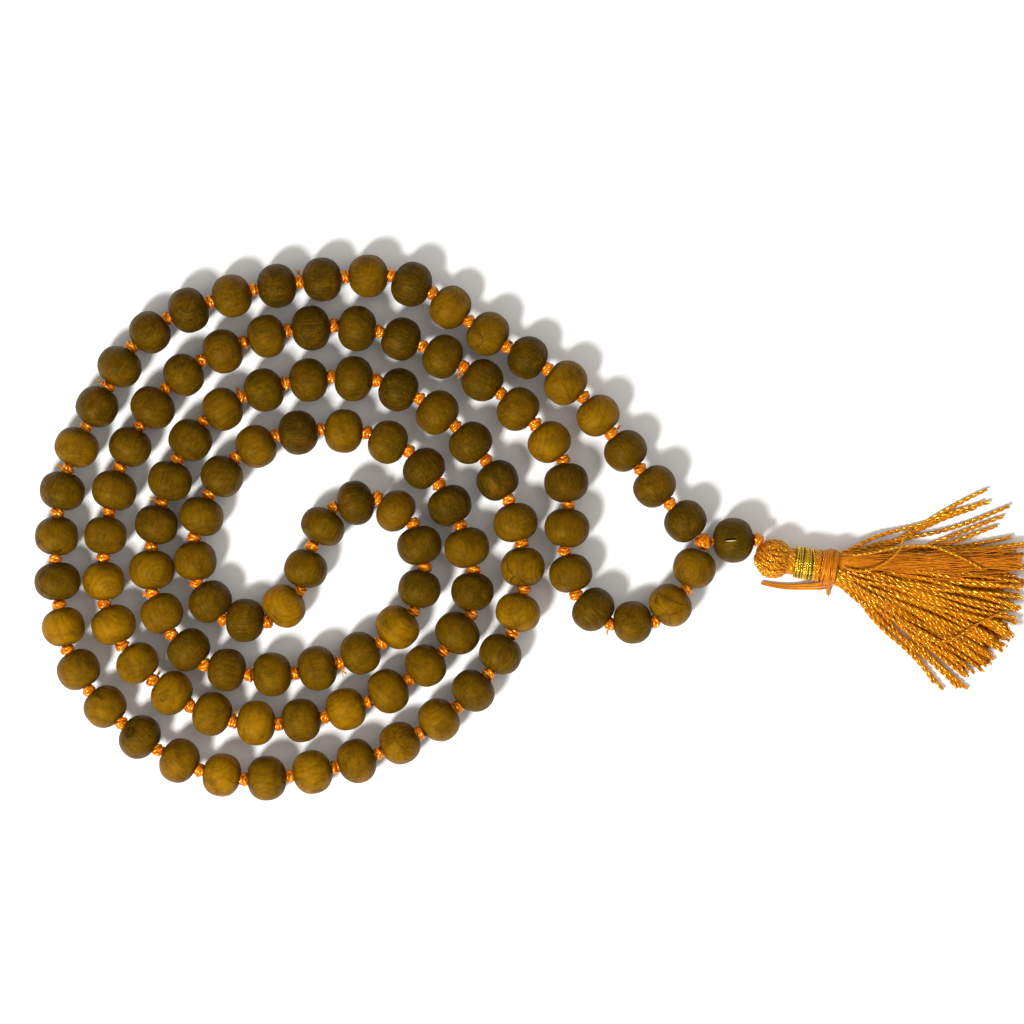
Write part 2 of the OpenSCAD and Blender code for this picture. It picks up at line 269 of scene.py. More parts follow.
def shapes_on_marks():
    """Copies of one shape on marks, each turned, sized and worn in its own way.

    A mark has turn, size and seed attributes. The shape has its own place in grain, in mm.
    """
    tree, given = new_tree("shapes_on_marks", {
        "Shape": ("Object", None),
        "Lump height": ("Float", 0.1 * MM),
        "Lumps per mm": ("Float", 0.2),
        "Egg shape": ("Float", 0.0),
        "Dent depth": ("Float", 0.0),
        "Material": ("Material", None),
    })
    shape = tree.nodes.new("GeometryNodeObjectInfo")
    tree.links.new(given["Shape"], shape.inputs["Object"])
    turn = add(tree, "FunctionNodeEulerToRotation", {"Euler": named(tree, "turn", "FLOAT_VECTOR")})
    copies = add(tree, "GeometryNodeInstanceOnPoints", {
        "Points": given["Geometry"], "Instance": shape.outputs["Geometry"],
        "Rotation": turn, "Scale": named(tree, "size", "FLOAT_VECTOR")})
    copies = add(tree, "GeometryNodeRealizeInstances", {"Geometry": copies})
    grain = named(tree, "grain", "FLOAT_VECTOR")
    seed = named(tree, "seed")
    lumps = add(tree, "ShaderNodeTexNoise", {
        "Vector": grain, "W": seed, "Scale": given["Lumps per mm"], "Detail": 2.0, "Roughness": 0.4,
    }, noise_dimensions="4D")
    height = calc(tree, "MULTIPLY", calc(tree, "SUBTRACT", lumps, 0.56), given["Lump height"])
    length = add(tree, "ShaderNodeSeparateXYZ", {0: grain})
    lean = calc(tree, "SINE", calc(tree, "MULTIPLY", seed, 7.0))
    egg = calc(tree, "MULTIPLY", calc(tree, "MULTIPLY", length, lean), given["Egg shape"])
    egg = calc(tree, "MINIMUM", egg, 0.0)
    dents = add(tree, "ShaderNodeTexVoronoi", {"Vector": grain, "W": seed, "Scale": 0.42},
                voronoi_dimensions="4D", feature="SMOOTH_F1")
    dent = calc(tree, "MULTIPLY", ramp(tree, dents, 0.12, 0.3, -1.0, 0.0), given["Dent depth"])
    offset = calc(tree, "ADD", calc(tree, "ADD", height, egg), dent)
    normal = add(tree, "GeometryNodeInputNormal")
    copies = add(tree, "GeometryNodeSetPosition",
                 {"Geometry": copies, "Offset": scaled(tree, normal, offset)})
    end_tree(tree, copies, given["Material"])
    return tree


def twisted_cord():
    """Cords of several plies twisted together along paths of edges.

    A path's points have thick, its own share of the full thickness, and seed.
    """
    tree, given = new_tree("twisted_cord", {
        "Plies": ("Int", 2),
        "Ply radius": ("Float", 0.25 * MM),
        "Ply offset": ("Float", 0.2 * MM),
        "Lay length": ("Float", 2.6 * MM),
        "Spacing": ("Float", 0.4 * MM),
        "Sides": ("Int", 6),
        "Material": ("Material", None),
    })
    cords = add(tree, "GeometryNodeMeshToCurve", {"Mesh": given["Geometry"]})
    cords = add(tree, "GeometryNodeCurveSplineType", {"Curve": cords}, spline_type="CATMULL_ROM")
    cords = add(tree, "GeometryNodeResampleCurve", {"Curve": cords, "Length": given["Spacing"]},
                mode="LENGTH")
    double = tree.nodes.new("GeometryNodeDuplicateElements")
    double.domain = "SPLINE"
    fill(double, {"Geometry": cords, "Amount": given["Plies"]})
    place = tree.nodes.new("GeometryNodeSplineParameter")
    length = place.outputs["Length"]
    seed = named(tree, "seed")
    thick = named(tree, "thick")
    share = calc(tree, "DIVIDE", double.outputs["Duplicate Index"], given["Plies"])
    turns = calc(tree, "ADD", calc(tree, "DIVIDE", length, given["Lay length"]), share)
    angle = calc(tree, "MULTIPLY", calc(tree, "ADD", turns, seed), TURN)
    normal = add(tree, "GeometryNodeInputNormal")
    tangent = add(tree, "GeometryNodeInputTangent")
    side = add(tree, "ShaderNodeVectorRotate", {"Vector": normal, "Axis": tangent, "Angle": angle},
               rotation_type="AXIS_ANGLE")
    offset = scaled(tree, side, calc(tree, "MULTIPLY", given["Ply offset"], thick))
    plies = store(tree, double.outputs["Geometry"], "run", calc(tree, "MULTIPLY", length, 1 / MM))
    plies = store(tree, plies, "ply", share)
    plies = add(tree, "GeometryNodeSetPosition", {"Geometry": plies, "Offset": offset})
    section = add(tree, "GeometryNodeCurvePrimitiveCircle",
                  {"Resolution": given["Sides"], "Radius": given["Ply radius"]})
    around = tree.nodes.new("GeometryNodeSplineParameter")
    section = store(tree, section, "round", around.outputs["Factor"])
    body = add(tree, "GeometryNodeCurveToMesh", {
        "Curve": plies, "Profile Curve": section, "Scale": thick, "Fill Caps": True})
    end_tree(tree, body, given["Material"])
    return tree


def mesh_object(name, points, edges=(), faces=(), attributes=None):
    """A mesh object at the origin. attributes is {name: (kind, one value for each point)}."""
    mesh = bpy.data.meshes.new(name)
    mesh.from_pydata([tuple(p) for p in points], list(edges), list(faces))
    for label, (kind, values) in (attributes or {}).items():
        layer = mesh.attributes.new(label, kind, "POINT")
        field = "vector" if kind == "FLOAT_VECTOR" else "value"
        for item, value in zip(layer.data, values):
            setattr(item, field, value)
    mesh.update()
    piece = bpy.data.objects.new(name, mesh)
    bpy.context.scene.collection.objects.link(piece)
    return piece


def grow(piece, tree, values):
    """Runs a geometry tree on a piece and keeps the result as the piece's plain mesh."""
    modifier = piece.modifiers.new(tree.name, "NODES")
    modifier.node_group = tree
    sockets = {s.name: s.identifier for s in tree.interface.items_tree if s.in_out == "INPUT"}
    for label, value in values.items():
        modifier[sockets[label]] = value
    bpy.context.view_layer.update()
    grown = bpy.data.meshes.new_from_object(piece.evaluated_get(bpy.context.evaluated_depsgraph_get()))
    piece.modifiers.remove(modifier)
    seed_mesh = piece.data
    piece.data = grown
    grown.name = piece.name
    bpy.data.meshes.remove(seed_mesh)
    return piece


def hang_on(piece, body, slot, *nodes):
    """Rides on a body and stands for CAD nodes. slot is not used."""
    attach(piece, body)
    if nodes:
        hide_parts(*nodes)
    return piece


# ---- Materials ----

def new_material(name):
    """A node material, its tree and its shader."""
    material = bpy.data.materials.new(name)
    material.use_nodes = True
    tree = material.node_tree
    return material, tree, tree.nodes["Principled BSDF"]


def read(tree, name, output):
    """The Vector or Fac output of a mesh attribute."""
    node = tree.nodes.new("ShaderNodeAttribute")
    node.attribute_name = name
    return node.outputs[output]


def color_mix(tree, amount, a, b):
    """Mixes two colours, each a plain colour or a socket."""
    node = tree.nodes.new("ShaderNodeMix")
    node.data_type = "RGBA"
    for key, value in ((0, amount), (6, a), (7, b)):
        if isinstance(value, bpy.types.NodeSocket):
            tree.links.new(value, node.inputs[key])
        elif key == 0:
            node.inputs[key].default_value = value
        else:
            node.inputs[key].default_value = (*value, 1)
    return node.outputs[2]


def color_steps(tree, value, steps):
    """A colour ramp. steps is [(position, colour), ...]."""
    node = tree.nodes.new("ShaderNodeValToRGB")
    tree.links.new(value, node.inputs[0])
    while len(node.color_ramp.elements) < len(steps):
        node.color_ramp.elements.new(0.5)
    for element, (position, color) in zip(node.color_ramp.elements, steps):
        element.position = position
        element.color = (*color, 1)
    return node.outputs[0]


def bump(tree, height, strength, distance, under=None):
    values = {"Height": height, "Strength": strength, "Distance": distance}
    if under is not None:
        values["Normal"] = under
    return add(tree, "ShaderNodeBump", values)


def noise(tree, vector, seed, scale, detail=3.0, roughness=0.55):
    return add(tree, "ShaderNodeTexNoise", {
        "Vector": vector, "W": seed, "Scale": scale, "Detail": detail, "Roughness": roughness,
    }, noise_dimensions="4D")


def spot(tree, vector):
    """One in the middle of the unit ball, falling to nothing at its edge."""
    length = tree.nodes.new("ShaderNodeVectorMath")
    length.operation = "LENGTH"
    tree.links.new(vector, length.inputs[0])
    return ramp(tree, length.outputs["Value"], 0.75, 1.0, 1.0, 0.0)


def turned_wood(name, tones, streak_strength, slit=False):
    """Matte turned wood. Its pattern follows each bead's own grain, seed and tone."""
    material, tree, shader = new_material(name)
    grain = read(tree, "grain", "Vector")
    seed = read(tree, "seed", "Fac")
    tone = read(tree, "tone", "Fac")
    base = color_steps(tree, tone, tones)

    # Cloudy patches, darker, redder and paler
    clouds = noise(tree, grain, seed, 0.33, 4.0, 0.62)
    base = color_mix(tree, ramp(tree, clouds, 0.45, 0.68, 0.0, 0.6), base, (0.018, 0.0095, 0.0003))
    rust_place = noise(tree, grain, calc(tree, "ADD", seed, 31.0), 0.28)
    base = color_mix(tree, ramp(tree, rust_place, 0.5, 0.72, 0.0, 0.6), base, (0.1, 0.034, 0.0004))
    pale_place = noise(tree, grain, calc(tree, "ADD", seed, 57.0), 0.4, 5.0, 0.7)
    base = color_mix(tree, ramp(tree, pale_place, 0.52, 0.75, 0.0, 0.4), base, (0.21, 0.1, 0.001))

    # Fibres run along the hole, stretched thin
    along = calc_vector(tree, "MULTIPLY", grain, (0.4, 3.0, 3.0))
    fibres = noise(tree, along, seed, 1.0, 4.0, 0.65)
    base = color_mix(tree, ramp(tree, fibres, 0.5, 0.72, 0.0, streak_strength), base,
                     (0.21, 0.1, 0.001))
    base = color_mix(tree, ramp(tree, fibres, 0.5, 0.3, 0.0, streak_strength), base,
                     (0.014, 0.0075, 0.0003))

    # Growth rings cut across by the turning show as faint bands
    tilt = add(tree, "ShaderNodeVectorRotate", {
        "Vector": grain, "Axis": (0.3, 1, 0.2), "Angle": calc(tree, "MULTIPLY", seed, 5.0)},
        rotation_type="AXIS_ANGLE")
    rings = add(tree, "ShaderNodeTexWave", {
        "Vector": tilt, "Scale": 0.4, "Distortion": 5.0, "Detail": 3.0, "Detail Scale": 0.7},
        wave_type="RINGS", rings_direction="X")
    base = color_mix(tree, ramp(tree, rings, 0.6, 1.0, 0.0, 0.22), base, (0.022, 0.011, 0.0003))

    # Pores, specks and, on some beads, a scar
    cell = add(tree, "ShaderNodeTexVoronoi", {"Vector": grain, "W": seed, "Scale": 2.1},
               voronoi_dimensions="4D")
    speck_room = ramp(tree, noise(tree, grain, calc(tree, "ADD", seed, 11.0), 0.6), 0.42, 0.56)
    specks = calc(tree, "MULTIPLY", ramp(tree, cell, 0.12, 0.27, 1.0, 0.0), speck_room)
    base = color_mix(tree, calc(tree, "MULTIPLY", specks, 0.75), base, (0.008, 0.004, 0.0005))
    fine = noise(tree, grain, seed, 5.5, 3.0, 0.75)
    base = color_mix(tree, ramp(tree, fine, 0.52, 0.7, 0.0, 0.5), base, (0.013, 0.007, 0.0003))
    base = color_mix(tree, ramp(tree, fine, 0.47, 0.3, 0.0, 0.4), base, (0.21, 0.105, 0.003))
    crease = add(tree, "ShaderNodeTexVoronoi", {"Vector": grain, "W": seed, "Scale": 0.21},
                 voronoi_dimensions="4D", feature="DISTANCE_TO_EDGE")
    lucky = add(tree, "ShaderNodeTexWhiteNoise", {"W": seed}, noise_dimensions="1D")
    scar_room = ramp(tree, noise(tree, grain, calc(tree, "ADD", seed, 83.0), 0.25), 0.5, 0.56)
    scar = calc(tree, "MULTIPLY", ramp(tree, crease, 0.0, 0.028, 1.0, 0.0),
                calc(tree, "MULTIPLY", ramp(tree, lucky, 0.86, 0.88), scar_room))
    base = color_mix(tree, calc(tree, "MULTIPLY", scar, 0.85), base, (0.008, 0.004, 0.0005))

    # A small slit on top, painted dark as the shade inside it, with a pale streak along it
    if slit:
        lie = calc_vector(tree, "SUBTRACT", grain, (-0.6, 0.2, 4.0))
        hole = spot(tree, calc_vector(tree, "MULTIPLY", lie, (0.85, 2.6, 0.5)))
        fibre = spot(tree, calc_vector(tree, "MULTIPLY", calc_vector(tree, "ADD", lie, (-0.1, 0.24, 0)),
                                       (0.95, 9.0, 0.5)))
        # Painted shade: the slit itself is coloured near black
        base = color_mix(tree, hole, base, (0.004, 0.002, 0.0005))
        base = color_mix(tree, fibre, base, (0.5, 0.4, 0.22))
        scar = calc(tree, "MAXIMUM", scar, hole)

    # Painted shade at the mouths of the hole, where the bead meets the knots
    reach = add(tree, "ShaderNodeSeparateXYZ", {0: calc_vector(tree, "ABSOLUTE", grain)})
    mouth = ramp(tree, reach, 2.6, 3.3, 0.0, 0.6)
    base = color_mix(tree, mouth, base, (0.02, 0.009, 0.0005))

    tree.links.new(base, shader.inputs["Base Color"])
    tree.links.new(ramp(tree, clouds, 0.3, 0.7, 0.46, 0.62), shader.inputs["Roughness"])
    shader.inputs["Specular IOR Level"].default_value = 0.16
    shader.inputs["Specular Tint"].default_value = (1, 0.6, 0.12, 1)
    relief = bump(tree, fibres, 0.5, 0.07 * MM)
    relief = bump(tree, calc(tree, "MAXIMUM", specks, scar), -0.8, 0.18 * MM, relief)
    relief = bump(tree, fine, 0.45, 0.04 * MM, relief)
    tree.links.new(relief, shader.inputs["Normal"])
    return material


def silk(name, deep, bright, gloss, luster):
    """Twisted silk, with fibres along each ply and its own shade on each cord.

    gloss is its least roughness, and luster how far it shines like metal.
    """
    material, tree, shader = new_material(name)
    run = read(tree, "run", "Fac")
    around = read(tree, "round", "Fac")
    seed = read(tree, "seed", "Fac")
    ply = read(tree, "ply", "Fac")
    lie = add(tree, "ShaderNodeCombineXYZ", {
        0: calc(tree, "MULTIPLY", run, 0.7),
        1: calc(tree, "ADD", calc(tree, "MULTIPLY", around, 7.0), calc(tree, "MULTIPLY", ply, 9.0)),
        2: calc(tree, "MULTIPLY", seed, 50.0)})
    fibres = add(tree, "ShaderNodeTexNoise", {
        "Vector": lie, "Scale": 1.6, "Detail": 3.0, "Roughness": 0.65})
    shade = add(tree, "ShaderNodeTexWhiteNoise", {"W": calc(tree, "ADD", seed, ply)},
                noise_dimensions="1D")
    level = calc(tree, "ADD", calc(tree, "MULTIPLY", fibres, 0.75), calc(tree, "MULTIPLY", shade, 0.3))
    base = color_mix(tree, ramp(tree, level, 0.25, 0.85), deep, bright)
    tree.links.new(base, shader.inputs["Base Color"])
    tree.links.new(ramp(tree, fibres, 0.3, 0.7, gloss, gloss + 0.16), shader.inputs["Roughness"])
    shader.inputs["Metallic"].default_value = luster
    shader.inputs["IOR"].default_value = 1.75
    shader.inputs["Specular IOR Level"].default_value = 1.0
    shader.inputs["Specular Tint"].default_value = (1, 0.84, 0.1, 1)
    shader.inputs["Sheen Weight"].default_value = 0.05
    shader.inputs["Sheen Roughness"].default_value = 0.35
    shader.inputs["Sheen Tint"].default_value = (1, 0.6, 0.2, 1)
    tree.links.new(bump(tree, fibres, 0.5, 0.05 * MM), shader.inputs["Normal"])
    return material


def foil(name, bright, dull, roughness):
    """Metal foil spun round a core thread."""
    material, tree, shader = new_material(name)
    run = read(tree, "run", "Fac")
    around = read(tree, "round", "Fac")
    place = tree.nodes.new("ShaderNodeTexCoord").outputs["Object"]
    spiral = calc(tree, "FRACT", calc(tree, "ADD", calc(tree, "MULTIPLY", run, 4.0), around))
    seam = ramp(tree, spiral, 0.0, 0.22, 1.0, 0.0)
    wear = add(tree, "ShaderNodeTexNoise", {"Vector": place, "Scale": 900.0, "Detail": 2.0})
    base = color_mix(tree, calc(tree, "MULTIPLY", seam, 0.8), bright, dull)
    base = color_mix(tree, ramp(tree, wear, 0.5, 0.7, 0.0, 0.6), base, dull)
    tree.links.new(base, shader.inputs["Base Color"])
    shader.inputs["Metallic"].default_value = 0.9
    tree.links.new(ramp(tree, wear, 0.3, 0.7, roughness, roughness + 0.18),
                   shader.inputs["Roughness"])
    tree.links.new(bump(tree, seam, -0.6, 0.04 * MM), shader.inputs["Normal"])
    return material


def table_top():
    """Pale, matte and faintly mottled."""
    material, tree, shader = new_material("pale_table")
    place = tree.nodes.new("ShaderNodeTexCoord").outputs["Object"]
    mottle = add(tree, "ShaderNodeTexNoise", {"Vector": place, "Scale": 60.0, "Detail": 4.0})
    base = color_mix(tree, ramp(tree, mottle, 0.3, 0.7), (0.86, 0.85, 0.83), (0.9, 0.895, 0.885))
    tree.links.new(base, shader.inputs["Base Color"])
    shader.inputs["Roughness"].default_value = 0.9
    return material


BEAD_WOOD = turned_wood("bead_wood", [
    (0.0, (0.034, 0.018, 0.0003)), (0.35, (0.075, 0.037, 0.0003)),
    (0.65, (0.145, 0.067, 0.0005)), (1.0, (0.26, 0.118, 0.0008))], 0.35)
GURU_WOOD = turned_wood("guru_wood", [
    (0.0, (0.036, 0.023, 0.0003)), (0.35, (0.075, 0.042, 0.0003)),
    (1.0, (0.145, 0.075, 0.0005))], 0.35, slit=True)
SILK = silk("knot_silk", (0.36, 0.055, 0.0005), (0.85, 0.2, 0.002), 0.2, 0.1)
TASSEL_SILK = silk("tassel_silk", (0.26, 0.045, 0.0005), (0.78, 0.26, 0.002), 0.12, 0.2)
FLOSS_SILK = silk("floss_silk", (0.38, 0.075, 0.0005), (0.72, 0.19, 0.002), 0.35, 0.1)
GOLD = foil("gold_foil", (0.85, 0.5, 0.03), (0.22, 0.14, 0.01), 0.16)
# Dark foil for the turns under the gold: partly dull gold, partly painted shade between the gold turns
DULL_GOLD_AND_SHADE = foil("dull_gold_foil", (0.16, 0.13, 0.015), (0.05, 0.045, 0.008), 0.3)

# ---- Beads ----

SHAPES_ON_MARKS = shapes_on_marks()
TWISTED_CORD = twisted_cord()
BEAD_SIDES = 48
CROWN_STEPS = 13
MOUTH_ROUNDING = 0.06 * MM


def turned_bead(name, width, length, bore, mouth):
    """A bead turned about X with its hole through it, opened out at both ends."""
    depth = (mouth - bore) / 2
    edge = math.acos((mouth / width) ** (ROUNDNESS / 2))
    crown_half = length / 2 / math.sin(edge) ** (2 / ROUNDNESS)
    profile = []
    for i in range(-CROWN_STEPS, CROWN_STEPS + 1):
        a = edge * i / CROWN_STEPS
        along = math.copysign(crown_half * abs(math.sin(a)) ** (2 / ROUNDNESS), a)
        profile.append((along, width / 2 * math.cos(a) ** (2 / ROUNDNESS)))
    profile.append((length / 2 - depth / 2, (mouth + bore) / 4 + MOUTH_ROUNDING))
    for share in (1, 0.33, -0.33, -1):
        profile.append((share * (length / 2 - depth), bore / 2))
    profile.append((depth / 2 - length / 2, (mouth + bore) / 4 + MOUTH_ROUNDING))
    rings = len(profile)
    points = [
        Vector((x, r * math.cos(TURN * j / BEAD_SIDES), r * math.sin(TURN * j / BEAD_SIDES)))
        for j in range(BEAD_SIDES) for x, r in profile]
    faces = [
        (j * rings + i, j * rings + (i + 1) % rings,
         (j + 1) % BEAD_SIDES * rings + (i + 1) % rings, (j + 1) % BEAD_SIDES * rings + i)
        for j in range(BEAD_SIDES) for i in range(rings)]
    faces = [face[::-1] for face in faces]
    shape = mesh_object(name, points, faces=faces, attributes={
        "grain": ("FLOAT_VECTOR", [p / MM for p in points])})
    bpy.context.scene.collection.objects.unlink(shape)
    return shape


TONE_SPREAD = 0.4
DARK_SHARE = 0.22


def bead_tone_with_painted_light(place, chance):
    """Painted light on the near left side of the string and painted shade towards its far side, over a tone
    mixed at random.
    """
    # Painted light and shade: the tone rises towards the lit near left and falls towards the far side
    painted_light_slope = 0.5 - 5.0 * place.y - 0.6 * place.x
    tone = painted_light_slope + chance.uniform(-TONE_SPREAD, TONE_SPREAD)
    if chance.random() < DARK_SHARE:
        tone -= TONE_SPREAD
    return min(1, max(0, tone))


def beads_piece(name, marks, shape, body, slot, node, material=BEAD_WOOD, roll=TURN):
    """marks is [(middle, heading, width share, seed, tone), ...], and roll the most a bead is turned."""
    chance = random.Random(name)
    piece = mesh_object(name, [m[0] for m in marks], attributes={
        "turn": ("FLOAT_VECTOR", [(chance.uniform(0, roll), 0, m[1]) for m in marks]),
        "size": ("FLOAT_VECTOR", [
            (chance.uniform(0.98, 1.01), m[2] * chance.uniform(0.96, 1.0), m[2]) for m in marks]),
        "seed": ("FLOAT", [m[3] for m in marks]),
        "tone": ("FLOAT", [m[4] for m in marks])})
    grow(piece, SHAPES_ON_MARKS, {
        "Shape": shape, "Lump height": 0.42 * MM, "Lumps per mm": 0.2,
        "Egg shape": 0.05 * MM, "Dent depth": 0.07 * MM, "Material": material})
    return hang_on(piece, body, slot, node)


def body_of(node):
    """The body that holds a CAD node."""
    return next(b for b, nodes in frame["record"]["behaviour"]["bodies"].items() if node in nodes)


SINGLE_BEADS = [n for n in range(1, BEAD_COUNT + 1) if n <= 6 or n >= 100 or 59 <= n <= 61]
COIL_BEADS = [n for n in range(1, BEAD_COUNT + 1) if n not in SINGLE_BEADS]
TIGHT_BEADS = (59, 60, 61)
GROUP_SIZE = 6


def bead_mark(n):
    """Where bead n lies, which way, how wide it is, its seed and its tone, which carries painted light and
    shade.
    """
    chance = random.Random(1000 + n)
    place = bead_middle(n)
    return (place, heading(KNOTS[n] - KNOTS[n - 1]), bead_width(n) / BEAD_D,
            chance.uniform(0, 40), bead_tone_with_painted_light(place, chance))


def make_beads():
    """The beads of the coil by sixes, then each bead that turns on its own, then the guru bead."""
    shape = turned_bead("bead_shape", BEAD_D, BEAD_L + BULGE, BORE_D, MOUTH_D)
    for group in range(len(COIL_BEADS) // GROUP_SIZE):
        numbers = COIL_BEADS[group * GROUP_SIZE:(group + 1) * GROUP_SIZE]
        node = f"coil_beads_{group + 1:03d}"
        beads_piece("wood_" + node, [bead_mark(n) for n in numbers], shape, "coil", "bead_wood", node)
    # The beads at the string's tightest turn are short, so that they clear each other as they spin
    short_shape = turned_bead("short_bead_shape", BEAD_D, BEAD_L - 0.1 * MM, BORE_D, MOUTH_D)
    for n in SINGLE_BEADS:
        node = f"bead_{n:03d}"
        own_shape = short_shape if n in TIGHT_BEADS else shape
        beads_piece("wood_" + node, [bead_mark(n)], own_shape, body_of(node), "bead_wood", node)
    guru_shape = turned_bead("guru_shape", GURU_D, GURU_L, GURU_BORE_D, GURU_BORE_D + MOUTH_FLARE)
    mark = (GURU, GURU_TURN, 1.0, 17.3, 0.12)
    beads_piece("wood_guru_bead", [mark], guru_shape, "guru", "guru_wood", "guru_bead", GURU_WOOD, 0)


# ---- Thread and knots ----

KNOT_PATH_STEPS = 60
KNOT_WINDS = 5
KNOT_ROLLS = 2
KNOT_L = KNOT_GAP + 1.05 * MM


def knot_path(center, axis_heading, width, length, chance):
    """A closed path wound slantwise over and over a small ball, as a hard knot lies."""
    strand = 0.2 * width
    phase = chance.uniform(0, TURN)
    tilt = Euler((chance.uniform(0, TURN), chance.uniform(-0.25, 0.25), chance.uniform(-0.3, 0.3)))
    place = Matrix.Translation(center) @ Matrix.Rotation(axis_heading, 4, "Z") @ tilt.to_matrix().to_4x4()
    points = []
    for i in range(KNOT_PATH_STEPS):
        a = TURN * i / KNOT_PATH_STEPS
        wind = KNOT_WINDS * a + phase
        latitude = 1.05 * math.sin(KNOT_ROLLS * a) + 0.25 * math.sin(wind + a)
        depth = 1 - 0.22 * (0.5 + 0.5 * math.cos(3 * a + phase))
        radius = (width / 2 - strand) * depth * math.cos(latitude)
        points.append(place @ Vector((
            (length / 2 - strand) * depth * math.sin(latitude),
            radius * math.cos(wind), radius * math.sin(wind))))
    return points


def cord_paths(name, paths, tree_values, seeds, thicks=None, closed=False):
    """Grows twisted cords along a list of point lists."""
    points = []
    edges = []
    seed_values = []
    thick_values = []
    for number, path in enumerate(paths):
        first = len(points)
        points += path
        edges += [(first + i, first + i + 1) for i in range(len(path) - 1)]
        if closed:
            edges.append((first + len(path) - 1, first))
        seed_values += [seeds[number]] * len(path)
        thick_values += thicks[number] if thicks else [1.0] * len(path)
    piece = mesh_object(name, points, edges=edges, attributes={
        "seed": ("FLOAT", seed_values), "thick": ("FLOAT", thick_values)})
    return grow(piece, TWISTED_CORD, tree_values)


def join(pieces, name):
    """Makes one piece of several meshes."""
    first = pieces[0]
    with bpy.context.temp_override(active_object=first, selected_editable_objects=pieces):
        bpy.ops.object.join()
    first.name = name
    first.data.name = name
    return first


def cord_look(plies, ply_radius, ply_offset, lay, spacing, sides, material):
    """The settings of one kind of twisted cord. Lengths are in millimetres."""
    return {
        "Plies": plies, "Ply radius": ply_radius * MM, "Ply offset": ply_offset * MM,
        "Lay length": lay * MM, "Spacing": spacing * MM, "Sides": sides, "Material": material}


def fibre_look(radius, spacing, sides):
    """The settings of one kind of loose fibre."""
    return cord_look(1, radius, 0.0, 1, spacing, sides, FLOSS_SILK)


KNOT_LOOK = cord_look(2, 0.33, 0.23, 3.6, 0.36, 6, SILK)
THREAD_LOOK = cord_look(3, 0.24, 0.21, 3.4, 0.6, 6, SILK)
FRAY_LOOK = fibre_look(0.09, 0.4, 4)
FRAYED_SHARE = 0.06
# Each thread node's runs, as (first bead, last bead, first knot, last knot)
THREAD_RUNS = {
    "coil_thread_001": [(7, 21, 7, 21)],
    "coil_thread_002": [(22, 36, 22, 36)],
    "coil_thread_003": [(37, 48, 37, 48)],
    "coil_thread_004": [(49, 58, 49, 57)],
    "coil_thread_005": [(62, 73, 62, 73)],
    "coil_thread_006": [(74, 86, 74, 86)],
    "coil_thread_007": [(87, 99, 87, 98)],
    "hook_thread": [(59, 61, 58, 61)],
    "tail_thread_001": [(6, 6, 6, 6), (100, 100, 99, 99)],
    "tail_thread_002": [(4, 5, 4, 5), (101, 104, 100, 103)],
    "tail_thread_003": [(3, 3, 3, 3), (105, 105, 104, 104)],
    "tail_thread_004": [(2, 2, 2, 2), (106, 106, 105, 105)],
    "tail_thread_005": [(1, 1, 1, 1), (107, 108, 106, 107)],
}


def frayed_end(start, direction, length, chance):
    """A few loose fibres where a knot's spare thread was cut off."""
    paths = []
    for _ in range(5):
        drift = Vector((chance.uniform(-1, 1), chance.uniform(-1, 1), chance.uniform(-0.6, 0.8)))
        path = [start + direction * (length * t) + drift * (0.45 * length * t * t)
                for t in (0, 0.3, 0.65, 1)]
        paths.append([Vector((p.x, p.y, max(p.z, 0.1 * MM))) for p in path])
    return paths


def thread_piece(node, runs):
    """The knots, the thread between them and the frayed ends that stand for one CAD node."""
    chance = random.Random(node)
    knot_paths = []
    spans = []
    frays = []
    for first_bead, last_bead, first_knot, last_knot in runs:
        for k in range(first_knot, last_knot + 1):
            turn = heading(KNOTS[k + 1] - KNOTS[k - 1])
            width = KNOT_D * chance.uniform(1.1, 1.24)
            if chance.random() < FRAYED_SHARE:
                outward = Vector((math.sin(turn), -math.cos(turn), -0.1))
                frays += frayed_end(KNOTS[k] + outward * (KNOT_D / 2 - 0.2 * MM), outward,
                                    chance.uniform(0.7, 1.3) * MM, chance)
            knot_paths.append(knot_path(KNOTS[k], turn, width, KNOT_L, chance))
        for n in range(first_bead, last_bead + 1):
            start, end = KNOTS[n - 1], KNOTS[n]
            inset = (KNOT_L / 2 + 0.2 * MM) / (end - start).length
            spans.append([mix(start, end, u) for u in (inset, 0.35, 0.65, 1 - inset)])
    knots = cord_paths("silk_" + node, knot_paths, KNOT_LOOK,
                       [chance.random() for _ in knot_paths], closed=True)
    threads = cord_paths("span", spans, THREAD_LOOK, [chance.random() for _ in spans])
    parts = [knots, threads]
    if frays:
        parts.append(cord_paths("fray", frays, FRAY_LOOK, [chance.random() for _ in frays]))
    piece = join(parts, "silk_" + node)
    return hang_on(piece, body_of(node), "silk_thread", node)


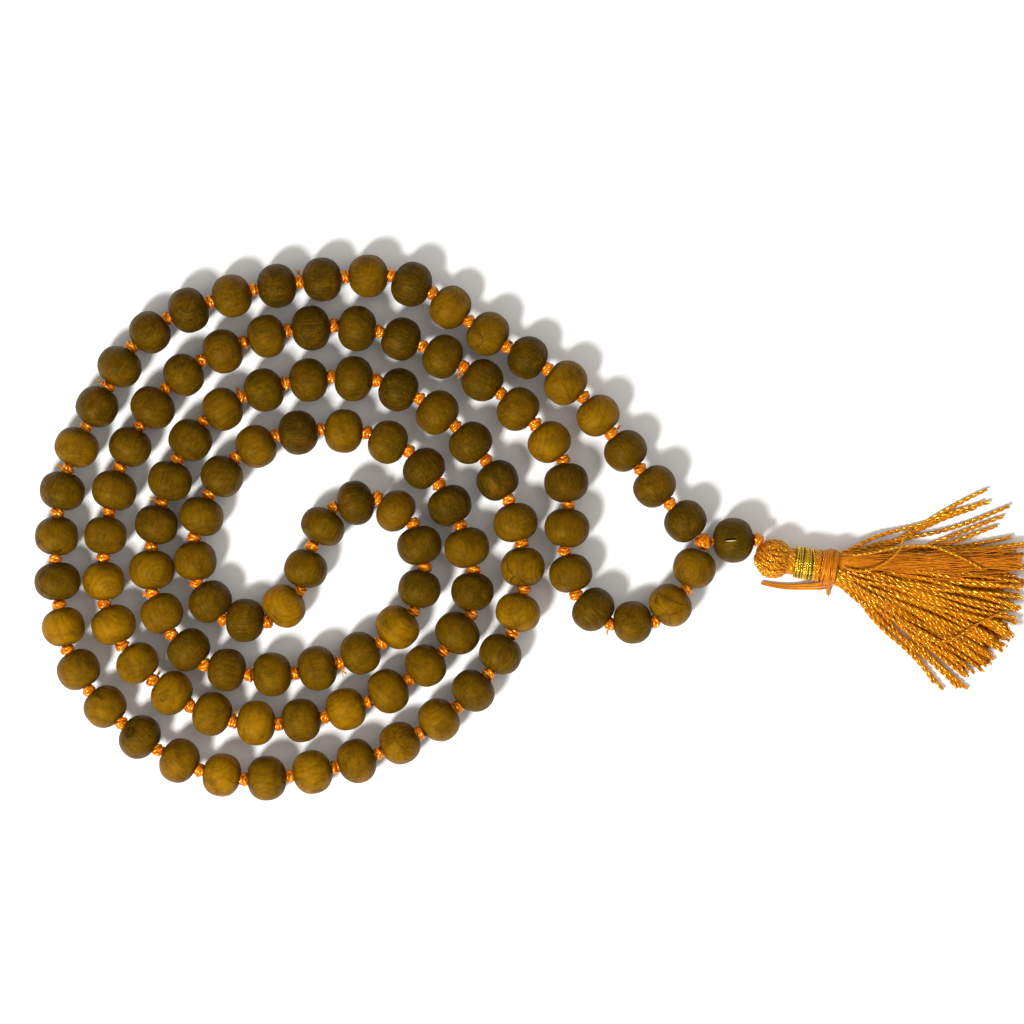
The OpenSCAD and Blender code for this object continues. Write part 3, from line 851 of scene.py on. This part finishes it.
def make_threads():
    """All the thread: between the beads, and from the big knot through the guru bead."""
    for node, runs in THREAD_RUNS.items():
        thread_piece(node, runs)
    chance = random.Random("big knot")
    big = [knot_path(JUNCTION, GURU_TURN + turn, JUNCTION_D * 1.15, 3.7 * MM, chance)
           for turn in (0.3, -0.9)]
    look = dict(KNOT_LOOK, **{"Ply offset": 0.25 * MM})
    knot = cord_paths("silk_junction_knot", big, look, [0.2, 0.6], closed=True)
    hang_on(knot, "big_knot", "silk_thread", "junction_knot")

    along = Vector((math.cos(GURU_TURN), math.sin(GURU_TURN), 0))
    start = JUNCTION + along * (JUNCTION_D / 2)
    start.z = GURU.z
    reach = (TASSEL_PIVOT - JUNCTION).length - JUNCTION_D / 2 - 1.5 * MM
    side = Vector((-along.y, along.x, 0)) * (0.34 * MM)
    double = [[start + along * (reach * u) + side * sign for u in (0, 0.3, 0.7, 1)] for sign in (-1, 1)]
    look = dict(THREAD_LOOK, **{"Ply radius": 0.19 * MM, "Ply offset": 0.16 * MM})
    through = cord_paths("silk_guru_thread", double, look, [0.1, 0.7])
    hang_on(through, "guru_cord", "silk_thread", "guru_thread")

    small = [knot_path(TASSEL_PIVOT, GURU_TURN - 0.7, 2.5 * MM, 2.6 * MM, chance)]
    loop = cord_paths("silk_tassel_knot", small, KNOT_LOOK, [0.45], closed=True)
    hang_on(loop, "tassel_link", "silk_thread", "tassel_knot")


# ---- Tassel ----

HEAD_CORDS = 44
CROWN_LOOPS = 16
NECK_LATITUDE = 2.3
STEPS_A_TURN = 26
WRAP_FIBRES = 150
TIE_FIBRES = 24
TIE_STRAYS = 9


def head_direction(latitude, longitude):
    """Latitude is measured from the head's far pole, where the cords fold over."""
    return Vector((-math.cos(latitude), math.sin(latitude) * math.cos(longitude),
                   math.sin(latitude) * math.sin(longitude)))


def make_head():
    """Cords folded over the ball and drawn down into the neck."""
    chance = random.Random("head")
    ball = HEAD_D / 2 - 0.45 * MM
    neck = NECK_D / 2 - 0.35 * MM
    paths = []
    for number in range(HEAD_CORDS):
        longitude = TURN * number / HEAD_CORDS
        start = chance.uniform(0.1, 0.55)
        sway = chance.uniform(-0.3, 0.3)
        lift = chance.uniform(-0.12, 0.16) * MM
        path = []
        for step in range(9):
            u = step / 8
            latitude = mix(start, 2.45, u)
            turn = longitude + sway * math.sin(math.pi * u) + 0.05 * math.sin(9 * u + number)
            point = head_direction(latitude, turn) * (ball + lift * math.sin(math.pi * u))
            path.append(point)
        for along in (3.9, 5.5, 7.5, 9.6):
            path.append(Vector((along * MM, neck * math.cos(longitude), neck * math.sin(longitude))))
        paths.append([TASSEL_PLACE @ p for p in path])
    # Odd loops that cross the rest, matted on the crown
    for _ in range(CROWN_LOOPS):
        middle_latitude = chance.uniform(0.15, 1.4)
        longitude = chance.uniform(0, TURN)
        lean = chance.uniform(0.5, 1.3)
        path = []
        for step in range(7):
            u = step / 6 - 0.5
            point = head_direction(abs(middle_latitude + 0.9 * u), longitude + lean * u)
            path.append(TASSEL_PLACE @ (point * (ball + 0.28 * MM * math.cos(math.pi * u))))
        paths.append(path)
    look = cord_look(2, 0.22, 0.18, 2.0, 0.33, 6, TASSEL_SILK)
    cords = cord_paths("head_cords", paths, look, [chance.random() for _ in paths])

    # A silk shell underneath closes the gaps between the cords on top
    rings = 22
    sides = 48
    points = []
    for i in range(rings + 1):
        u = i / rings
        if u < 0.6:
            latitude = mix(0.02, NECK_LATITUDE, u / 0.6)
            center = -math.cos(latitude) * (ball - 0.1 * MM)
            radius = math.sin(latitude) * (ball - 0.1 * MM)
        else:
            share = (u - 0.6) / 0.4
            center = mix(-math.cos(NECK_LATITUDE) * ball, WRAP_END, share)
            radius = mix(math.sin(NECK_LATITUDE) * ball, neck, min(1, 3 * share))
        for j in range(sides):
            a = TURN * j / sides
            r = radius * (1 + 0.03 * math.sin(12 * a + 3 * u))
            points.append(TASSEL_PLACE @ Vector((center, r * math.cos(a), r * math.sin(a))))
    faces = [(i * sides + j, (i + 1) * sides + j, (i + 1) * sides + (j + 1) % sides,
              i * sides + (j + 1) % sides) for i in range(rings) for j in range(sides)]
    faces.append(tuple(range(sides)))
    faces.append(tuple(rings * sides + j for j in reversed(range(sides))))
    under = mesh_object("under", points, faces=faces, attributes={
        "run": ("FLOAT", [i / sides * 0.6 for i in range(len(points))]),
        "round": ("FLOAT", [(i % sides) * 6 / sides for i in range(len(points))]),
        "seed": ("FLOAT", [0.3] * len(points))})
    under.data.materials.append(TASSEL_SILK)
    under.data.shade_smooth()
    head = join([cords, under], "head_cords")
    return hang_on(head, "tassel", "tassel_silk", "head_cover")


def wound_path(start, end, turns, radius, phase, wander):
    """A helix round the neck that wanders a little from side to side."""
    steps = STEPS_A_TURN * turns
    path = []
    for i in range(steps + 1):
        u = i / steps
        a = TURN * turns * u
        along = mix(start, end, u) + wander * math.sin(1.7 * a + phase)
        path.append(TASSEL_PLACE @ Vector((along, radius * math.cos(a), radius * math.sin(a))))
    return path


def make_windings():
    """Gold thread over duller turns that are partly dull gold and partly painted shade between the gold,
    then a finer orange thread, then a soft cord.
    """
    radius = NECK_D / 2 + GOLD_THREAD_D / 2
    under_end = ORANGE_START + 0.2 * MM
    dull = cord_look(2, 0.12, 0.1, 1.1, 0.28, 5, DULL_GOLD_AND_SHADE)
    gold_end = GOLD_START + GOLD_TURNS * GOLD_THREAD_D
    metal = cord_look(2, 0.1, 0.085, 1.2, 0.22, 6, GOLD)
    paths = [wound_path(GOLD_START + 0.1 * MM, gold_end, GOLD_TURNS, radius, 0.4, 0.07 * MM),
             wound_path(GOLD_START + 0.2 * MM, gold_end + 1.2 * MM, 3, radius + 0.12 * MM, 2.1, 0.2 * MM)]
    metal_turns = cord_paths("gold_turns", paths, metal, [0.2, 0.8])
    # Dull turns between the gold ones, partly dull gold and partly painted shade
    under = wound_path(GOLD_START, under_end, GOLD_TURNS + 1, radius - 0.08 * MM, 0.9, 0.05 * MM)
    dull_turns = cord_paths("dull_turns", [under], dull, [0.6])
    metal_turns = join([metal_turns, dull_turns], "gold_turns")
    hang_on(metal_turns, "tassel", "gold_thread", "gold_winding")

    fine = cord_look(2, 0.15, 0.12, 1.6, 0.3, 6, TASSEL_SILK)
    start = ORANGE_START + ORANGE_THREAD_D / 2
    end = ORANGE_START + (ORANGE_TURNS - 0.5) * ORANGE_THREAD_D
    path = wound_path(start, end, ORANGE_TURNS, NECK_D / 2 + 0.15 * MM, 1.0, 0.05 * MM)
    orange = cord_paths("orange_turns", [path], fine, [0.5])
    hang_on(orange, "tassel", "tassel_silk", "orange_winding")

    # The soft cord is many loose fibres laid round together
    chance = random.Random("wrap")
    paths = []
    for _ in range(WRAP_FIBRES):
        a0 = chance.uniform(0, TURN)
        span = chance.uniform(0.25, 0.8) * TURN
        lane = mix(WRAP_START + 0.05 * MM, WRAP_END - 0.1 * MM, chance.random())
        lift = NECK_D / 2 + chance.uniform(0.05, 0.72) * MM
        lean = chance.gauss(0, 0.45) * MM
        puff = chance.uniform(0, 0.3) * MM
        paths.append([TASSEL_PLACE @ Vector((
            lane + lean * (i / 12 - 0.5),
            (lift + puff * math.sin(math.pi * i / 12)) * math.cos(a0 + span * i / 12),
            (lift + puff * math.sin(math.pi * i / 12)) * math.sin(a0 + span * i / 12)))
            for i in range(13)])
    look = fibre_look(0.1, 0.5, 4)
    wrap = cord_paths("soft_neck_turns", paths, look, [chance.random() for _ in paths])
    hang_on(wrap, "tassel", "tassel_silk", "neck_wrap")


def make_tie_end():
    """A flat bundle of loose fibres lying back beside the head."""
    chance = random.Random("tie")
    side = -(NECK_D / 2 + WRAP_CORD_D + TIE_D / 2) / MM
    start = WRAP_START / MM
    lie = (TIE_D / 2 - HEAD_D / 2) / MM
    spine = [(start + 1.4, side + 0.5, 0.2), (start + 0.4, side + 0.1, -1.2), (start - 1.4, side - 0.3, -2),
             (start - 3.4, side - 0.7, lie + 0.3), (start - 5.6, side - 1, lie),
             (start - 8, side - 1.1, lie), (start - 9.8, side - 1, lie - 0.1)]
    paths = []
    for _ in range(TIE_FIBRES):
        across = chance.uniform(-0.75, 0.75)
        level = chance.uniform(-0.15, 0.2)
        keep = chance.choice((5, 6, 7, 7))
        paths.append([
            along_tassel(x + chance.uniform(-0.1, 0.1), y + across * (1 - 0.11 * i),
                         max(z + level, lie - 0.25))
            for i, (x, y, z) in enumerate(spine[:keep])])
    for _ in range(TIE_STRAYS):
        x = chance.uniform(1.3, 2.0) + start
        y = side + chance.uniform(-0.2, 0.3)
        paths.append([along_tassel(x, y + 0.7, -0.6), along_tassel(x, y, -1.8),
                      along_tassel(x + 0.2, y - 0.6, lie + 0.1),
                      along_tassel(x + 0.3, y - chance.uniform(1.1, 1.6), lie - 0.1)])
    look = fibre_look(0.13, 0.5, 5)
    thicks = [[1 - 0.5 * i / (len(p) - 1) for i in range(len(p))] for p in paths]
    tie = cord_paths("tie_fibres", paths, look, [chance.random() for _ in paths], thicks)
    return hang_on(tie, "tassel", "tassel_silk", "tie_end")


# Where the fan's cords start, in mm along the tassel from the middle of its head
NECK_END = WRAP_END / MM - 0.6
# The fan's edges are in degrees from the neck's end, and its longest cord in mm
FAN_CORDS = 128
FAN_EDGES = (-30.0, 16.0)
CORD_REACH = 34.0
FLOSS_FIBRES = 110
# Stray cords, as (angle from the neck's end in degrees, length)
STRAYS = [(35, 30.5), (33.5, 29), (31.5, 30), (30, 27.5), (28, 33), (25, 31.5), (22, 30), (19, 32),
          (-36, 30.5), (-37.5, 29), (-40.5, 27), (-34, 31), (-32.5, 32)]


def fringe_path(angle, reach, start, height, chance):
    """A cord from the neck, drooping to the table and out to its tip."""
    direction = math.radians(angle)
    tip = Vector((NECK_END + reach * math.cos(direction), reach * math.sin(direction), 0))
    base = Vector((NECK_END, start[0], 0))
    knee = Vector((NECK_END + 0.3 * reach * math.cos(direction * 0.45), start[0] +
                   0.3 * reach * math.sin(direction * 0.45), 0))
    wave = chance.uniform(0.2, 0.75)
    pace = chance.uniform(0.8, 1.5)
    phase = chance.uniform(0, TURN)
    bow = chance.gauss(0, 0.9)
    side = Vector((-math.sin(direction), math.cos(direction), 0))
    path = []
    steps = 15
    for i in range(steps):
        t = i / (steps - 1)
        flat = base * (1 - t) ** 2 + 2 * knee * t * (1 - t) + tip * t * t
        sway = wave * math.sin(TURN * pace * t + phase) * min(1, 3 * t) + bow * t * (1 - t) * 2
        flat += side * sway
        settle = min(1.0, 1.7 * t)
        settle = settle * settle * (3 - 2 * settle)
        z = mix(start[1], height, settle) + 0.25 * math.sin(TURN * pace * 1.3 * t + 2 * phase) * t
        z = max(z, 0.55 - HEAD_D / 2 / MM)
        path.append(along_tassel(flat.x, flat.y, z))
    return path


def neck_start(angle_share, chance):
    """Where a cord leaves the neck: its place across and above the middle."""
    room = NECK_D / 2 / MM - 0.3
    across = angle_share * room + chance.uniform(-0.35, 0.35)
    most = math.sqrt(max(room * room - min(across * across, room * room), 0.0))
    return across, chance.uniform(-most, most)


def make_fringe():
    """The twisted cords, fanned out and lying on each other."""
    chance = random.Random("fringe")
    low = 0.5 - HEAD_D / 2 / MM
    paths = []
    for number in range(FAN_CORDS):
        share = (number + chance.uniform(-0.8, 0.8)) / (FAN_CORDS - 1)
        share = min(1, max(0, share))
        angle = mix(*FAN_EDGES, share)
        start = neck_start(2 * share - 1, chance)
        layer = chance.random()
        height = low + 0.1 + 3.1 * layer * (1 - 0.6 * (2 * share - 1) ** 2)
        reach = CORD_REACH * chance.uniform(0.88, 1.0) - 2.5 * max(0, 1 - 2 * share) ** 2
        paths.append(fringe_path(angle, reach, start, height, chance))
    for angle, reach in STRAYS:
        share = min(1, max(-1, angle / 30))
        paths.append(fringe_path(angle, reach, neck_start(share, chance), low + 0.1, chance))
    look = cord_look(2, 0.235, 0.2, 2.6, 0.36, 6, TASSEL_SILK)
    # Forty cords at most in each piece. Few enough cords in a piece for it to be
    # exported whole
    bundle_size = 40
    fringe = []
    for number, first in enumerate(range(0, len(paths), bundle_size)):
        part = paths[first:first + bundle_size]
        thicks = [[0.85] * 3 + [1.0] * (len(p) - 5) + [0.95, 0.8] for p in part]
        seeds = [chance.random() for _ in part]
        fringe.append(cord_paths(f"fringe_cords_{number + 1}", part, look, seeds, thicks))
    for cords in fringe:
        hang_on(cords, "tassel", "tassel_silk")
    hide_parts("fan_of_cords")


def make_floss():
    """A cord that has come untwisted, spread into a soft band near the fan's far edge."""
    chance = random.Random("floss")
    paths = []
    for _ in range(FLOSS_FIBRES):
        lane = chance.gauss(0, 1)
        start = (1.1 + 0.3 * lane, 1.6 + 0.2 * chance.random())
        path = fringe_path(11 + 2.0 * lane, chance.uniform(29, 34), start,
                           0.1 + chance.uniform(-0.5, 0.5), chance)
        paths.append(path[:chance.choice((12, 14, 15, 15, 15))])
    look = fibre_look(0.075, 0.8, 4)
    floss = cord_paths("untwisted_floss", paths, look, [chance.random() for _ in paths])
    return hang_on(floss, "tassel", "tassel_silk")


def make_gold_strays():
    """Fine silk threads that wander over the fan."""
    loop = [(10.5, 1.6, 1.2), (13, 0.2, 1.9), (16, 0.4, 2.2),
            (19, 2.2, 2.1), (21, 4.6, 1.7), (21.6, 6.6, 0.9)]
    over = [(10.5, 1.9, 0.8), (16, 3.4, 1.5), (22, 5.6, 1.4),
            (27, 6.3, 1.2), (32, 5.2, 1.1), (36, 3.8, 0.8)]
    low = [(14, -2, 1.6), (20, -5, 1.5), (27, -9.2, 1.2),
           (32, -9.4, 1.0), (37, -5.4, 0.9), (41, -2.8, 0.7)]
    look = cord_look(2, 0.15, 0.12, 1.9, 0.3, 6, TASSEL_SILK)
    paths = [[along_tassel(*p) for p in path] for path in (loop, over, low)]
    strays = cord_paths("gold_strays", paths, look, [0.9, 0.93, 0.97])
    return hang_on(strays, "tassel", "gold_thread")


# ---- Table, light and camera ----

TABLE_REACH = 3.0


def make_stage():
    """A pale table in a softly lit room."""
    reach = TABLE_REACH
    corners = [(-reach, -reach, 0), (reach, -reach, 0), (reach, reach, 0), (-reach, reach, 0)]
    floor = mesh_object("table_top", corners, faces=[(0, 1, 2, 3)])
    floor.data.materials.append(table_top())

    world = bpy.data.worlds.new("soft_room")
    bpy.context.scene.world = world
    world.use_nodes = True
    sky = world.node_tree.nodes["Background"]
    sky.inputs["Color"].default_value = (1.0, 0.985, 0.96, 1)
    sky.inputs["Strength"].default_value = 0.5

    add_light("window", (-0.42, -0.5, 0.75), 0.2, 14)
    add_light("fill", (0.6, 0.3, 0.9), 0.9, 2.5)


def add_light(name, place, size, power):
    """A soft square light that faces the middle of the string."""
    data = bpy.data.lights.new(name, "AREA")
    data.shape = "SQUARE"
    data.size = size
    data.energy = power
    light = bpy.data.objects.new(name, data)
    light.location = place
    light.rotation_euler = (-Vector(place)).to_track_quat("-Z", "Y").to_euler()
    bpy.context.scene.collection.objects.link(light)


VIEW_WIDTH = 178.1 * MM
VIEW_MIDDLE = Vector((-2.8 * MM, 2.7 * MM, 4 * MM))
CAMERA_HEIGHT = 0.75


def make_camera():
    """Looks straight down. Plain display keeps the wood and silk as saturated as they are."""
    bpy.context.scene.view_settings.view_transform = "Standard"
    data = bpy.data.cameras.new("camera")
    data.lens = data.sensor_width * CAMERA_HEIGHT / VIEW_WIDTH
    camera = bpy.data.objects.new("camera", data)
    camera.location = VIEW_MIDDLE + UP * CAMERA_HEIGHT
    camera.rotation_euler = Euler((0, 0, 0))
    bpy.context.scene.collection.objects.link(camera)
    bpy.context.scene.camera = camera


def finish_hidden_pieces():
    """The ball and the gathered cords inside the tassel keep their CAD shapes."""
    for node, material in (("head_core", BEAD_WOOD), ("neck_bundle", FLOSS_SILK)):
        mesh = frame["nodes"][node].data
        mesh.materials.clear()
        mesh.materials.append(material)


make_camera()
make_beads()
make_threads()
make_head()
make_windings()
make_tie_end()
make_fringe()
make_floss()
make_gold_strays()
finish_hidden_pieces()
make_stage()
